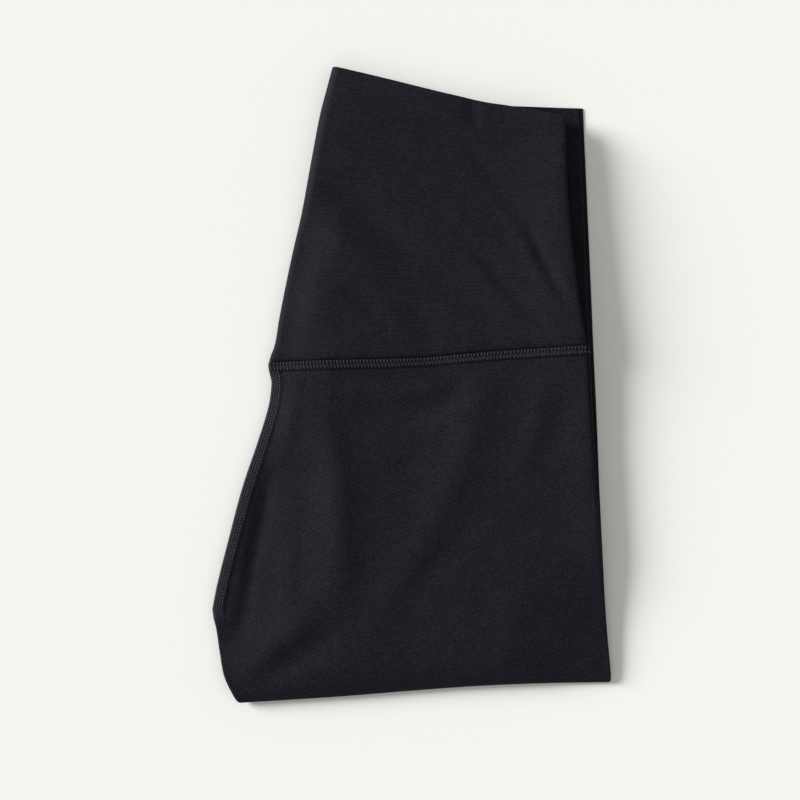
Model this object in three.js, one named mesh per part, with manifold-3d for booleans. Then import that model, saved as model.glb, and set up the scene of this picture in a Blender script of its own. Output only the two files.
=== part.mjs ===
// A pair of high-waisted leggings, folded for a shelf and lying on a table.
// The left half lies on the right half, and both legs are turned under along a line below the
// crotch and run back beneath the hips, so that the hems lie under the top of the waistband.
// Millimetres. +X is towards the side folds, +Y towards the waist and +Z up from the table.
// The origin is on the table, at the middle of the bounding box.
import * as THREE from 'three';
import Module from 'manifold-3d';
import { mergeVertices } from 'three/addons/utils/BufferGeometryUtils.js';

// Cloth thicknesses: one layer of knit on the legs, two on the waistband
const CLOTH = 1.0;
const BAND_CLOTH = 1.5;
const GAP = 0.3;
// Air that a wall leaves over what it covers, measured straight down
const COVER = 0.6;

// A flattened tube is two layers high, and lies on the next with a gap
const TUBE = 2 * CLOTH + 2 * GAP;
const BAND_TUBE = 2 * BAND_CLOTH + GAP;
const STACK = 2 * TUBE + GAP;
const BAND_STACK = 2 * BAND_TUBE + GAP;
// Depth of the round fold at the lower edge, measured along the table
const FOLD = STACK;

// Flat seams stand proud of the cloth
const SEAM_WIDTH = 6.0;
const SEAM_RISE = 0.5;
const SEAM_STEP = 0.6;
const SEAM_GAP = 0.6;

// Edges seen from above: x of each edge at the height y on the table
const WAIST_CENTRE_EDGE = [
  { y: 12, x: -86.8 }, { y: 25, x: -83.6 }, { y: 61, x: -75.8 }, { y: 104, x: -66.2 },
  { y: 133, x: -60.4 }, { y: 162, x: -54.8 }, { y: 191, x: -47.6 },
];
const WAIST_SIDE_EDGE = [
  { y: 20, x: 104.6 }, { y: 45, x: 100.8 }, { y: 69, x: 97.8 }, { y: 93, x: 95.4 },
  { y: 117, x: 93.6 }, { y: 158, x: 92.4 },
];
const BACK_SEAM_EDGE = [
  { y: -134.5, x: -120 }, { y: -119, x: -116.6 }, { y: -91, x: -109.5 }, { y: -62, x: -102.2 },
  { y: -32, x: -92.4 }, { y: -14, x: -87.0 }, { y: -2, x: -85.4 }, { y: 18, x: -86.9 },
];
const INNER_THIGH_EDGE = [
  { y: -191, x: -104 }, { y: -184, x: -108.4 }, { y: -174, x: -112.8 }, { y: -162, x: -115.2 },
  { y: -146, x: -117.6 }, { y: -134.5, x: -120 },
];
const HIP_SIDE_EDGE = [
  { y: -178.6, x: 120 }, { y: -140, x: 116.2 }, { y: -99, x: 112.8 }, { y: -57, x: 109.2 },
  { y: -27, x: 107.0 }, { y: 24, x: 104.2 },
];
const UNDER_SIDE_EDGE = [
  { y: -178.6, x: 120 }, { y: -138, x: 116.6 }, { y: -99, x: 114.5 }, { y: -64, x: 112.8 },
  { y: -18, x: 111.0 }, { y: 18, x: 109.3 }, { y: 63, x: 107.4 }, { y: 108, x: 105.6 },
  { y: 140, x: 104.3 }, { y: 168, x: 103.2 },
];
const UNDER_INNER_EDGE = [
  { y: -191, x: -104 }, { y: -170, x: -91 }, { y: -143, x: -67 }, { y: -115, x: -53 },
  { y: -75, x: -48 }, { y: -25, x: -49 }, { y: 20, x: -50 }, { y: 60, x: -48 },
  { y: 110, x: -43 }, { y: 172, x: -36 },
];
// Edges seen from above: y of each edge at x
const FOLD_LINE = [
  { x: -104, y: -191 }, { x: -44, y: -187.2 }, { x: -2, y: -183.8 }, { x: 40, y: -180.8 },
  { x: 80, y: -179.2 }, { x: 120, y: -178.6 },
];
const SEAM_LINE = [
  { x: -87, y: 14.0 }, { x: -40, y: 15.8 }, { x: 10, y: 18.6 }, { x: 60, y: 21.6 }, { x: 105, y: 24.0 },
];
const WAIST_LINE = [
  { x: -47.6, y: 191 }, { x: -17, y: 183.8 }, { x: 12.6, y: 176.6 }, { x: 44, y: 169.4 },
  { x: 60, y: 167.0 }, { x: 78, y: 164.2 }, { x: 88, y: 161.6 }, { x: 92.4, y: 157.6 },
];
const FRONT_WAIST_LINE = [
  { x: -60, y: 168 }, { x: 20, y: 162 }, { x: 92, y: 154 },
];
const HEM_LINE = [
  { x: -37, y: 171.0 }, { x: 103, y: 166.8 },
];

// Soft troughs (height below 0) and ridges of the upper surface, each along a bent line
const CREASES = [
  { from: [-32, -22], bend: [-24, -80], to: [-33, -130], width: 11, height: -1.0 },
  { from: [-100, -182], bend: [-72, -166], to: [-38, -122], width: 10, height: -1.3 },
  { from: [38, 8], bend: [14, -60], to: [-38, -168], width: 12, height: 1.0 },
  { from: [36, -70], bend: [18, -104], to: [-14, -142], width: 9, height: -0.9 },
  { from: [52, 8], bend: [52, -34], to: [34, -66], width: 8, height: -0.7 },
  { from: [82, 10], bend: [62, -32], to: [58, -66], width: 8, height: 0.6 },
  { from: [93, 4], bend: [74, -26], to: [74, -66], width: 7, height: -0.7 },
  { from: [-22, 2], bend: [4, -20], to: [24, 4], width: 8, height: -0.9 },
  { from: [0, 34], bend: [2, 16], to: [3, -4], width: 9, height: -0.7 },
  { from: [70, -150], bend: [100, -150], to: [130, -150], width: 34, height: -0.9 },
  { from: [-54, 104], bend: [-30, 88], to: [-8, 66], width: 8, height: -1.1 },
  { from: [12, 98], bend: [44, 68], to: [70, 36], width: 8, height: -0.6 },
  { from: [64, 98], bend: [78, 60], to: [96, 44], width: 7, height: -0.9 },
];
const CREASE_STEPS = 8;

const lerp = (a, b, t) => a + (b - a) * t;
const clamp = (t) => Math.min(1, Math.max(0, t));
const smooth = (t) => clamp(t) * clamp(t) * (3 - 2 * clamp(t));
const steps = (count) => Array.from({ length: count + 1 }, (_, i) => i / count);

// A smooth line through a table's rows: cubic pieces whose slopes are those of the neighbours
function line(table, key, value) {
  const at = (i) => table[Math.min(table.length - 1, Math.max(0, i))];
  const slope = (i) => (at(i + 1)[value] - at(i - 1)[value]) / (at(i + 1)[key] - at(i - 1)[key]);
  return (k) => {
    let i = 0;
    while (i < table.length - 2 && k > table[i + 1][key]) i += 1;
    const [a, b] = [table[i], table[i + 1]];
    const span = b[key] - a[key];
    const t = clamp((k - a[key]) / span);
    return (2 * t ** 3 - 3 * t * t + 1) * a[value] + (3 * t * t - 2 * t ** 3) * b[value]
      + (t ** 3 - 2 * t * t + t) * span * slope(i) + (t ** 3 - t * t) * span * slope(i + 1);
  };
}

const waistCentre = line(WAIST_CENTRE_EDGE, 'y', 'x');
const waistSide = line(WAIST_SIDE_EDGE, 'y', 'x');
const backSeam = line(BACK_SEAM_EDGE, 'y', 'x');
const innerThigh = line(INNER_THIGH_EDGE, 'y', 'x');
const hipSide = line(HIP_SIDE_EDGE, 'y', 'x');
const underSide = line(UNDER_SIDE_EDGE, 'y', 'x');
const underInner = line(UNDER_INNER_EDGE, 'y', 'x');
const foldLine = line(FOLD_LINE, 'x', 'y');
const seamLine = line(SEAM_LINE, 'x', 'y');
const waistLine = line(WAIST_LINE, 'x', 'y');
const frontWaistLine = line(FRONT_WAIST_LINE, 'x', 'y');
const hemLine = line(HEM_LINE, 'x', 'y');

const CROTCH_Y = BACK_SEAM_EDGE[0].y;
const legCentre = (y) => (y < CROTCH_Y ? innerThigh(y) : backSeam(y));
const foldStart = (x) => foldLine(x) + FOLD;
const bandStart = (x) => seamLine(x) + SEAM_GAP;

// Height that the creases add at a point: each is a bell across its line, and fades at its ends
function creases(x, y) {
  let total = 0;
  for (const { from, bend, to, width, height } of CREASES) {
    let nearest = Infinity;
    let along = 0;
    for (const t of steps(CREASE_STEPS)) {
      const px = lerp(lerp(from[0], bend[0], t), lerp(bend[0], to[0], t), t);
      const py = lerp(lerp(from[1], bend[1], t), lerp(bend[1], to[1], t), t);
      const apart = Math.hypot(x - px, y - py);
      if (apart < nearest) [nearest, along] = [apart, t];
    }
    const fade = 0.25 + 0.75 * Math.sin(Math.PI * clamp(along));
    total += height * fade * Math.exp(-((nearest / width) ** 2));
  }
  return total;
}

// How far the upper layers have climbed onto the legs beneath: 0 on the table, 1 on the legs
const SIDE_RAMP = { width: 40, past: 3 };
const HEM_RAMP = { width: 18, past: 4 };
const crestAt = (y) => underInner(y) + SIDE_RAMP.past;
function climb(x, y) {
  const crest = crestAt(y);
  const foot = Math.max(crest - SIDE_RAMP.width, (y > seamLine(x) ? waistCentre(y) : legCentre(y)) + 1);
  const side = crest - foot < 1 ? 1 : smooth((x - foot) / (crest - foot));
  return side * (1 - smooth((y - hemLine(x) - HEM_RAMP.past) / HEM_RAMP.width));
}

// Heights of the outer faces over the table
const legTop = (x, y) => STACK * (1 + climb(x, y)) + creases(x, y);
const BAND_REST = 0.5;
const bandUnder = (x, y) => (STACK + BAND_REST) * climb(x, y);
const FRONT_RUN_OUT = 14;
const SEAM_DIP = { height: 1.2, width: 18 };
function bandTop(x, y) {
  const ended = smooth((y - frontWaistLine(x) - 1) / FRONT_RUN_OUT);
  const dip = SEAM_DIP.height * (1 - smooth((y - bandStart(x)) / SEAM_DIP.width));
  const full = bandUnder(x, y) + BAND_STACK - dip;
  return full - (BAND_TUBE + GAP) * ended + 0.6 * creases(x, y) * (1 - ended);
}

// An edge's point at the share v of the way from one line to another
function edge(outline, fromLine, toLine, guess) {
  let [start, end] = [guess, guess];
  for (let i = 0; i < 12; i += 1) {
    start = outline(fromLine(start));
    end = outline(toLine(end));
  }
  return { start, end, at: (v) => outline(lerp(fromLine(start), toLine(end), v)) };
}

// Places across a row, with one of them on the crest of the ramp
function spread(left, crest, right, before, after) {
  const bend = Math.min(Math.max(crest, lerp(left, right, 0.03)), lerp(left, right, 0.9));
  return [
    ...steps(before).map((t) => lerp(left, bend, t)),
    ...steps(after).slice(1).map((t) => lerp(bend, right, t)),
  ];
}

// Rows that lie closer together near the start
const closerAtStart = (count, power) => steps(count).map((t) => t ** power);

// A point u of the way between two edges, and v of the way between the lines that bound them
function between(left, right, fromLine, toLine, u, v) {
  const y = lerp(fromLine(lerp(left.start, right.start, u)), toLine(lerp(left.end, right.end, u)), v);
  return [lerp(left.at(v), right.at(v), u), y];
}

function geometryOf(points, triangles) {
  const geometry = new THREE.BufferGeometry();
  geometry.setAttribute('position', new THREE.Float32BufferAttribute(points.flat(), 3));
  geometry.setIndex(triangles.flat());
  return geometry;
}

// Two triangles for each cell of a grid of point numbers
function cells(grid) {
  const made = [];
  for (let i = 0; i + 1 < grid.length; i += 1) {
    for (let j = 0; j + 1 < grid[i].length; j += 1) {
      const [a, b, c, d] = [grid[i][j], grid[i][j + 1], grid[i + 1][j + 1], grid[i + 1][j]];
      made.push([a, b, c], [a, c, d]);
    }
  }
  return made;
}

// The border of a grid, once round
function border(grid) {
  const [last, width] = [grid.length - 1, grid[0].length - 1];
  return [
    ...grid[0].slice(0, width),
    ...grid.slice(0, last).map((row) => row[width]),
    ...grid[last].slice(1).reverse(),
    ...grid.slice(1).map((row) => row[0]).reverse(),
  ];
}

// A wall: a grid of outer points, the same points moved in along the normals, and a rim
function wall(outer, thickness) {
  const vector = (p) => new THREE.Vector3(...p);
  const next = (list, i) => list[Math.min(list.length - 1, i + 1)];
  const last = (list, i) => list[Math.max(0, i - 1)];
  const inner = outer.map((row, i) => row.map((p, j) => {
    const along = vector(next(outer, i)[j]).sub(vector(last(outer, i)[j]));
    const across = vector(next(row, j)).sub(vector(last(row, j)));
    const normal = across.cross(along).normalize();
    return vector(p).addScaledVector(normal, -thickness).toArray();
  }));
  const width = outer[0].length;
  const outerIds = outer.map((row, i) => row.map((_, j) => i * width + j));
  const innerIds = outerIds.map((row) => row.map((n) => n + outer.length * width));
  const rim = [border(innerIds), border(outerIds)].map((loop) => [...loop, loop[0]]);
  const triangles = [...cells(outerIds), ...cells(innerIds).map(([a, b, c]) => [a, c, b]), ...cells(rim)];
  return geometryOf([...outer.flat(), ...inner.flat()], triangles);
}

// A padded block: the first and last levels are whole grids, the ones between only their borders
function block(levels) {
  const [top, bottom] = [levels[0], levels[levels.length - 1]];
  const points = [];
  const number = (p) => points.push(p) - 1;
  const topIds = top.map((row) => row.map(number));
  const bottomIds = bottom.map((row) => row.map(number));
  const loops = [
    border(topIds),
    ...levels.slice(1, -1).map((level) => border(level).map(number)),
    border(bottomIds),
  ].map((loop) => [...loop, loop[0]]);
  const underside = cells(bottomIds).map(([a, b, c]) => [a, c, b]);
  return geometryOf(points, [...cells(topIds), ...underside, ...cells(loops.reverse())]);
}

// Half a circle across a folded edge: how far in from the edge, and how far down from the face
const foldedEdge = (radius, count) => steps(count).map((t) => ({
  inset: radius * (1 - Math.sin(Math.PI * t)),
  depth: radius * (1 - Math.cos(Math.PI * t)),
}));

// The left leg's outer cloth, from the waist seam over the lower fold and back to the hem.
// Each row crosses the leg, and its ends turn in at the folded edges.
const RAMP_COLUMNS = 7;
const FLAT_COLUMNS = 12;
const UPPER_ROWS = 20;
const FOLD_ROWS = 5;
const UNDER_ROWS = 12;
const UNDER_POWER = 1.7;
const FOLD_LEAN = 1.3;
const LIP_STEPS = 4;

// How much longer a step across an edge is along a row that meets the edge aslant
const lean = (outline, y) => Math.hypot(1, (outline(y + 2) - outline(y - 2)) / 4);

function legRow(left, right, crest, place, slant, hip) {
  const lip = foldedEdge(TUBE / 2, LIP_STEPS);
  const quarter = (i) => (Math.PI / 2) * (i / LIP_STEPS);
  const centreLip = lip.map(({ inset, depth }, i) => ({
    inset: slant * lerp(inset, TUBE * (1 - Math.sin(quarter(i))), hip),
    depth: lerp(depth, TUBE * (1 - Math.cos(quarter(i))), hip),
  }));
  const seam = SEAM_RISE * hip;
  const row = centreLip.reverse().map(({ inset, depth }) => place(left + inset, depth - seam));
  row.push(place(left + SEAM_WIDTH - SEAM_STEP, -seam), place(left + SEAM_WIDTH, 0));
  const columns = spread(left + SEAM_WIDTH, crest, right - TUBE / 2, RAMP_COLUMNS, FLAT_COLUMNS);
  row.push(...columns.slice(1).map((x) => place(x, 0)));
  row.push(...lip.slice(1).map(({ inset, depth }) => place(right - inset, depth)));
  return row;
}

function leftLeg() {
  const centre = edge(legCentre, foldStart, seamLine, -100);
  const side = edge(hipSide, foldStart, seamLine, 110);
  const underCentre = edge(underInner, foldStart, hemLine, -60);
  const underRight = edge(underSide, foldStart, hemLine, 110);
  const rows = [];
  const long = seamLine(centre.end) - foldStart(centre.start);
  const crotch = (CROTCH_Y - foldStart(centre.start)) / long;
  const seamRows = [0, SEAM_STEP, SEAM_WIDTH - SEAM_STEP, SEAM_WIDTH].map((d) => (
    { v: 1 - d / long, raised: d > 0 && d < SEAM_WIDTH }
  ));
  const plain = [0, 0.015, ...steps(UPPER_ROWS).slice(1, -1)].map((v) => ({ v, raised: false }));
  const nearest = plain.reduce((a, b) => (Math.abs(a.v - crotch) < Math.abs(b.v - crotch) ? a : b));
  nearest.v = crotch;
  for (const { v, raised } of [...seamRows, ...plain.reverse()]) {
    const hip = smooth((v - crotch) * 12 + 1);
    const edgeY = lerp(foldStart(centre.start), seamLine(centre.end), v);
    rows.push(legRow(centre.at(v), side.at(v), crestAt(edgeY), (x, depth) => {
      const u = (x - centre.at(v)) / (side.at(v) - centre.at(v));
      const [, y] = between(centre, side, foldStart, seamLine, u, v);
      const rise = raised && depth >= 0 ? SEAM_RISE * (1 - clamp(depth / TUBE)) : 0;
      return [x, y, legTop(x, y) - depth + rise];
    }, lean(legCentre, edgeY), hip));
  }
  for (const t of steps(FOLD_ROWS).slice(1, -1)) {
    const turn = Math.PI * (0.5 - t);
    const [left, right] = [lerp(centre.start, underCentre.start, t), lerp(side.start, underRight.start, t)];
    rows.push(legRow(left, right, crestAt(foldStart(left)), (x, depth) => {
      const axis = foldStart(x);
      const top = legTop(x, axis);
      return [x, axis - (FOLD - depth) * Math.cos(turn), top / 2 + (top / 2 - depth) * Math.sin(turn)];
    }, FOLD_LEAN, 0));
  }
  for (const v of closerAtStart(UNDER_ROWS, UNDER_POWER)) {
    const [left, right] = [underCentre.at(v), underRight.at(v)];
    rows.push(legRow(left, right, lerp(left, right, 0.2), (x, depth) => {
      const [, y] = between(underCentre, underRight, foldStart, hemLine, (x - left) / (right - left), v);
      return [x, y, depth];
    }, lean(underInner, lerp(foldStart(underCentre.start), hemLine(underCentre.end), v)), 0));
  }
  return wall(rows.reverse(), CLOTH);
}

// The back half of the waistband: over the top, round the centre fold and back beneath
const BAND_ROWS = 14;
const BAND_POWER = 0.75;
const BAND_RAMP_COLUMNS = 6;
const BAND_COLUMNS = 8;
const CENTRE_FOLD_STEPS = 5;
const TUCK = 1.0;

function waistband() {
  const centre = edge(waistCentre, bandStart, waistLine, -60);
  const side = edge(waistSide, bandStart, waistLine, 92);
  const lip = foldedEdge(BAND_TUBE / 2, LIP_STEPS);
  const rows = closerAtStart(BAND_ROWS, BAND_POWER).map((v) => {
    const [left, right] = [centre.at(v), side.at(v)];
    const crest = crestAt(lerp(bandStart(centre.start), waistLine(centre.end), v));
    const place = (x, depth, face) => {
      const [, y] = between(centre, side, bandStart, waistLine, (x - left) / (right - left), v);
      const z = face === 'under' ? bandUnder(x, y) + depth : bandTop(x, y) - depth;
      return [x, y, z];
    };
    const [, leftY] = between(centre, side, bandStart, waistLine, 0, v);
    const radius = bandTop(left, leftY) / 2;
    const row = lip.slice(1).reverse().map(({ inset, depth }) => place(right - TUCK - inset, depth, 'under'));
    const under = spread(left + radius, crest, right - TUCK - BAND_TUBE / 2, BAND_RAMP_COLUMNS, BAND_COLUMNS);
    row.push(...under.reverse().map((x) => place(x, 0, 'under')));
    for (const t of steps(CENTRE_FOLD_STEPS).slice(1, -1)) {
      const turn = Math.PI * (t - 0.5);
      const [x, y] = place(left + radius * (1 - Math.cos(turn)), 0, 'under');
      row.push([x, y, radius * (1 + Math.sin(turn))]);
    }
    const over = spread(left + radius, crest, right - BAND_TUBE / 2, BAND_RAMP_COLUMNS, BAND_COLUMNS);
    row.push(...over.map((x) => place(x, 0, 'top')));
    row.push(...lip.slice(1).map(({ inset, depth }) => place(right - inset, depth, 'top')));
    return row;
  });
  return wall(rows, BAND_CLOTH);
}

// Side profile of the hidden layers, from their top down: inset from the edge at each depth
const CORE_INSET = TUBE / 2 + 3 * GAP;
const HIP_LAYERS = [
  { depth: CLOTH + COVER, side: CORE_INSET, back: TUBE + GAP },
  { depth: TUBE, side: CORE_INSET, back: CLOTH + GAP },
  { depth: TUBE + 1.5 * GAP, side: TUBE / 2, back: 0.1 },
  { depth: TUBE + 0.8, side: 0.4, back: 0.05 },
  { depth: 1.5 * TUBE + GAP, side: 0, back: 0.4 },
  { depth: 2 * TUBE - 0.1, side: 0.4, back: 1.3 },
  { depth: STACK, side: TUBE / 2, back: TUBE },
];
const UNDER_LAYERS = [
  { height: STACK, side: TUBE / 2 },
  { height: STACK - 0.4, side: 0.4 },
  { height: 1.5 * TUBE + GAP, side: 0 },
  { height: TUBE + 0.7, side: 0.4 },
  { height: TUBE + GAP, side: TUBE / 2 },
  { height: TUBE, side: CORE_INSET },
  { height: CLOTH + COVER, side: CORE_INSET },
];
// Height inside the legs beneath at which the hips' block ends, and where it clears their edge
const JOIN = 4.0;
const CLEAR = 4 * GAP;
const LEFT_COLUMNS = 6;
const RIGHT_COLUMNS = 11;
const HIP_ROWS = 17;
const LEG_BLOCK_COLUMNS = 7;
const TONGUE_ROWS = 10;

// How far past the start of the lower fold a face at the height z bulges, inside the outer cloth
const BULGE_FADE = 16;
function foldBulge(x, z, left) {
  const half = legTop(x, foldStart(x)) / 2;
  const share = (z - half) / (half - CLOTH - COVER);
  const fade = smooth((x - left - CORE_INSET) / BULGE_FADE);
  return fade * (FOLD - CLOTH - COVER) * Math.sqrt(Math.max(0, 1 - share * share));
}

// The hips' inner layers, filled down to the table beside the legs beneath
function hipBlock() {
  const centre = edge(legCentre, foldStart, seamLine, -100);
  const side = edge(hipSide, foldStart, seamLine, 110);
  const under = edge(underInner, foldStart, seamLine, -60);
  const long = seamLine(centre.end) - foldStart(centre.start);
  const crotch = (CROTCH_Y - foldStart(centre.start)) / long;
  const rows = [0, 0.005, 0.015, ...steps(HIP_ROWS).slice(1)];
  const nearest = rows.reduce((a, b) => (Math.abs(a - crotch) < Math.abs(b - crotch) ? a : b));
  rows[rows.indexOf(nearest)] = crotch;
  const layers = [...HIP_LAYERS, { floor: true, side: TUBE, back: TUBE + GAP }];
  const levels = layers.map(({ depth, floor, side: sideInset, back }) => rows.map((v) => {
    const atFold = v === 0;
    const low = v <= rows[1] ? JOIN : 0;
    const edgeY = lerp(foldStart(centre.start), seamLine(centre.end), v);
    const hip = smooth((v - crotch) * 12 + 1);
    const nearFold = 0.6 * (1 - smooth(v / 0.08));
    const edgeInset = lerp(sideInset, back, hip) * lean(legCentre, edgeY) + nearFold;
    const inset = low ? CORE_INSET + (atFold ? 7 : 1) : edgeInset;
    const out = floor || depth > TUBE ? lerp(2.2, 0, smooth(1 - v)) : 0;
    const left = centre.at(v) + inset;
    const right = side.at(v) + (atFold ? -CORE_INSET : out - sideInset);
    const step = Math.max(under.at(v), left + 3);
    const columns = [
      ...steps(LEFT_COLUMNS).map((t) => ({ x: lerp(left, step - CLEAR, t), low })),
      { x: step - 2 * GAP, low: TUBE + 2 * GAP },
      { x: step + CORE_INSET, low: TUBE + 2 * GAP },
      { x: step + CORE_INSET + GAP, low: JOIN },
      ...steps(RIGHT_COLUMNS).map((t) => ({ x: lerp(step + SIDE_RAMP.past, right, t), low: JOIN })),
    ];
    return columns.map(({ x, low: bottom }) => {
      const u = (x - centre.at(v)) / (side.at(v) - centre.at(v));
      const [, y] = between(centre, side, foldStart, seamLine, clamp(u), v);
      const top = legTop(x, y);
      const z = floor ? bottom : Math.max(bottom, top - depth * Math.min(1, top / STACK));
      return [x, atFold ? y - foldBulge(x, z, centre.start) : y, z];
    });
  }));
  return block(levels);
}

// The legs turned under, from the lower fold to the hem
function legBlock() {
  const inner = edge(underInner, foldStart, hemLine, -60);
  const side = edge(underSide, foldStart, hemLine, 110);
  const rows = closerAtStart(UNDER_ROWS, UNDER_POWER);
  const levels = UNDER_LAYERS.map(({ height, side: inset }) => rows.map((v) => {
    const atFold = v === 0;
    const tuck = height > TUBE ? 2.4 : 0;
    const slant = lean(underInner, lerp(foldStart(inner.start), hemLine(inner.end), v));
    const left = inner.at(v) + (atFold ? CORE_INSET + 3 : inset * slant);
    const right = side.at(v) - (atFold ? CORE_INSET : inset + tuck);
    return steps(LEG_BLOCK_COLUMNS).map((t) => {
      const x = lerp(left, right, t);
      const u = (x - inner.at(v)) / (side.at(v) - inner.at(v));
      const [, y] = between(inner, side, foldStart, hemLine, u, v);
      const push = atFold ? -foldBulge(x, height, inner.start) : 0;
      const pull = v === 1 ? 0.6 * inset : 0;
      return [x, y + push - pull, height];
    });
  }));
  return block(levels);
}

// The front half of the waistband, inside the back half, rooted in the hips
function bandBlock() {
  const centre = edge(waistCentre, bandStart, frontWaistLine, -60);
  const side = edge(waistSide, bandStart, frontWaistLine, 92);
  const halves = [
    { share: 1, inset: 0.6 }, { share: 0.85, inset: 0 }, { share: 0.56, inset: 0 },
    { share: 0.5, inset: 1.2 },
    { share: 0.44, inset: 0 }, { share: 0.15, inset: 0 }, { share: 0, inset: 0.6 },
  ];
  const rows = [
    { v: 0, back: 6, inHips: true }, { v: 0, back: GAP + 0.2, inHips: true }, { v: 0.02, back: 0 },
    ...steps(TONGUE_ROWS).slice(1).map((v) => ({ v, back: 0 })),
  ];
  const levels = halves.map(({ share, inset }) => rows.map(({ v, back, inHips }) => {
    const left = centre.at(v) + 3.4 + inset;
    const right = side.at(v) - 3.6 - inset;
    const crest = crestAt(lerp(bandStart(centre.start), frontWaistLine(centre.end), v));
    return spread(left, crest, right, BAND_RAMP_COLUMNS, BAND_COLUMNS).map((x) => {
      const u = (x - centre.at(v)) / (side.at(v) - centre.at(v));
      const [, y] = between(centre, side, bandStart, frontWaistLine, u, v);
      const [low, high] = inHips
        ? [legTop(x, y - back) - 2.8, legTop(x, y - back) - CLOTH - COVER - 0.15]
        : [bandUnder(x, y) + BAND_CLOTH + COVER, bandTop(x, y) - BAND_CLOTH - COVER - 0.15];
      const recess = v === 1 ? inset : 0;
      return [x, y - back - recess, lerp(low, high, share)];
    });
  }));
  return block(levels);
}

const wasm = await Module();
wasm.setup();

function solid(geometry) {
  const merged = mergeVertices(geometry, 1e-4);
  const made = new wasm.Mesh({
    numProp: 3,
    vertProperties: new Float32Array(merged.getAttribute('position').array),
    triVerts: new Uint32Array(merged.getIndex().array),
  });
  return new wasm.Manifold(made);
}

function joined(geometries) {
  const whole = geometries.map(solid).reduce((a, b) => a.add(b));
  const { vertProperties, triVerts } = whole.getMesh();
  const geometry = new THREE.BufferGeometry();
  geometry.setAttribute('position', new THREE.Float32BufferAttribute(vertProperties, 3));
  geometry.setIndex([...triVerts]);
  return geometry;
}

const KNIT = { roughness: 0.75, metalness: 0 };

function piece(name, geometry, color) {
  const mesh = new THREE.Mesh(geometry, new THREE.MeshStandardMaterial({ ...KNIT, color }));
  mesh.name = name;
  return mesh;
}

const leggings = new THREE.Group();
leggings.add(
  piece('waistband', waistband(), 0x1f1e25),
  piece('left_leg', leftLeg(), 0x1d1c22),
  piece('right_leg_and_inner_layers', joined([hipBlock(), legBlock(), bandBlock()]), 0x17161a),
);

export default leggings;
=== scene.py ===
"""Folded leggings: true double-sided cloth, folded along the solids of the frame, with their sewing."""

import math
from functools import partial

import bpy
import numpy as np
from bpy.props import FloatProperty, FloatVectorProperty, PointerProperty
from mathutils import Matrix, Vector


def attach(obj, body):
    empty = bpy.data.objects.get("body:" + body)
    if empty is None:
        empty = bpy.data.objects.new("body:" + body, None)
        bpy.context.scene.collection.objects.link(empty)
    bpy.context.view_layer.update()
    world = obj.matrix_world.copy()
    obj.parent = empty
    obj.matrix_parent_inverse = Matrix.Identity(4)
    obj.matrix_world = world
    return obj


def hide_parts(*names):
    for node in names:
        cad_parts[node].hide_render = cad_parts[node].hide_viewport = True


bl_info = {
    "name": "Folded leggings",
    "version": (1, 0, 0),
    "blender": (4, 5, 0),
    "location": "View3D > Sidebar > Leggings",
    "description": "Builds a folded pair of high-waisted leggings over its solids",
    "category": "Object",
}

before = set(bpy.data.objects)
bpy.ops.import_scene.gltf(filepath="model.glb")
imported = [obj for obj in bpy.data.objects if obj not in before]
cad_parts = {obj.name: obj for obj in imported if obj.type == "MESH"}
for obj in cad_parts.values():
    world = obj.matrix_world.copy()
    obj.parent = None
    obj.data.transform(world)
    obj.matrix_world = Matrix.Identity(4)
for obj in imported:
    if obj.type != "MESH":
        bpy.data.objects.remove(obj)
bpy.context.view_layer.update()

# All lengths below are in millimetres, and meshes are written in metres
MM = 0.001

# Layers, as in the solids: a flattened tube is two layers high, and a stack is two tubes high
LEG_TUBE = 2.6
LEG_STACK = 5.5
BAND_TUBE = 3.3
BAND_STACK = 6.9
LAYER_GAP = 0.3
BAND_REST = 0.5
SEAM_GAP = 0.05
FOLD = LEG_STACK
CROTCH_Y = -134.5

# Edges seen from above, as rows of y and x
WAIST_CENTRE_EDGE = (
    (12, -86.3), (17, -85.0), (24, -82.4), (40, -79.7), (61, -75.6), (82, -71.1), (104, -66.0), (133, -60.7),
    (162, -55.2), (176, -51.6), (191, -47.6),
)
WAIST_SIDE_EDGE = ((20, 104.6), (45, 100.6), (69, 97.2), (93, 94.5), (117, 92.6), (140, 91.8), (158, 91.6))
BACK_SEAM_EDGE = (
    (-134.5, -120), (-119, -116.9), (-91, -109.8), (-62, -102.1), (-32, -92.0), (-14, -86.5), (-4, -84.8),
    (2.7, -84.5), (6.5, -85.5), (11, -86.3), (14, -86.1), (18, -85.0),
)
INNER_THIGH_EDGE = (
    (-191, -104), (-184, -108.4), (-174, -112.8), (-162, -115.2), (-146, -117.6), (-140, -119.2),
    (-134.5, -120),
)
HIP_SIDE_EDGE = ((-178.6, 120), (-140, 116.2), (-99, 112.8), (-57, 109.2), (-27, 107.0), (24, 104.2))
UNDER_SIDE_EDGE = (
    (-178.6, 120), (-138, 116.6), (-99, 114.5), (-64, 112.8), (-18, 111.0), (18, 109.3), (63, 107.4),
    (108, 105.4), (140, 104.0), (168, 102.9),
)
UNDER_INNER_EDGE = (
    (-191, -104), (-170, -91), (-143, -67), (-115, -53), (-75, -48), (-25, -49), (20, -50), (60, -48),
    (110, -43), (172, -36),
)

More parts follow.
